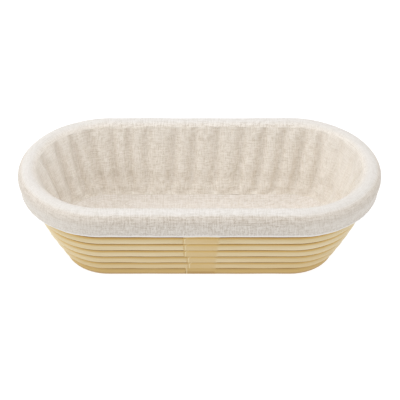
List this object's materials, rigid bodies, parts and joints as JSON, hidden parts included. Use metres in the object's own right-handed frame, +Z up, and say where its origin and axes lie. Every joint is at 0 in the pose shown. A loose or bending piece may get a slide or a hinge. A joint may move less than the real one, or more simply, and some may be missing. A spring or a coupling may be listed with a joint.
{
  "type": "banneton basket",
  "caption": "Oval bread-proofing basket of stacked, spliced cane rings, with a lift-off gathered linen liner whose elastic cuff turns over the rim.",
  "frame": {"origin": "middle of the underside, where the base canes stand on the table", "axes": "+X along the length, -Y towards the side with the splices, +Z up"},
  "size_m": [0.2804, 0.1364, 0.0828],
  "materials": {
    "cane": "bare round cane, lightly sanded",
    "pin_steel": "plain drawn wire",
    "linen": "natural plain-weave linen",
    "elastic": "woven white elastic"
  },
  "bodies": {
    "basket": {"base_centre_cane": "cane", "base_loop_1": "cane", "base_loop_2": "cane", "wall_ring_01": "cane", "wall_ring_02": "cane", "wall_ring_03": "cane", "wall_ring_04": "cane", "wall_ring_05": "cane", "wall_ring_06": "cane", "wall_ring_07": "cane", "wall_ring_08": "cane", "wall_ring_09": "cane", "ring_pin_02_1": "pin_steel", "ring_pin_02_2": "pin_steel", "ring_pin_02_3": "pin_steel", "ring_pin_02_4": "pin_steel", "ring_pin_03_1": "pin_steel", "ring_pin_03_2": "pin_steel", "ring_pin_03_3": "pin_steel", "ring_pin_03_4": "pin_steel", "ring_pin_04_1": "pin_steel", "ring_pin_04_2": "pin_steel", "ring_pin_04_3": "pin_steel", "ring_pin_04_4": "pin_steel", "ring_pin_05_1": "pin_steel", "ring_pin_05_2": "pin_steel", "ring_pin_05_3": "pin_steel", "ring_pin_05_4": "pin_steel", "ring_pin_06_1": "pin_steel", "ring_pin_06_2": "pin_steel", "ring_pin_06_3": "pin_steel", "ring_pin_06_4": "pin_steel", "ring_pin_07_1": "pin_steel", "ring_pin_07_2": "pin_steel", "ring_pin_07_3": "pin_steel", "ring_pin_07_4": "pin_steel", "ring_pin_08_1": "pin_steel", "ring_pin_08_2": "pin_steel", "ring_pin_08_3": "pin_steel", "ring_pin_08_4": "pin_steel", "ring_pin_09_1": "pin_steel", "ring_pin_09_2": "pin_steel", "ring_pin_09_3": "pin_steel", "ring_pin_09_4": "pin_steel", "cross_pin_1": "pin_steel", "cross_pin_2": "pin_steel", "cross_pin_3": "pin_steel", "cross_pin_4": "pin_steel"},
    "liner": {"liner_floor_panel": "linen", "liner_wall_panel": "linen", "liner_cuff": "linen", "hem_elastic": "elastic"}
  },
  "joints": [
    {"name": "liner_lift", "type": "slide", "parent": "basket", "child": "liner", "axis": [0, 0, 1], "range_m": [0, 0.1], "deforming": ["liner_cuff", "hem_elastic"]}
  ]
}
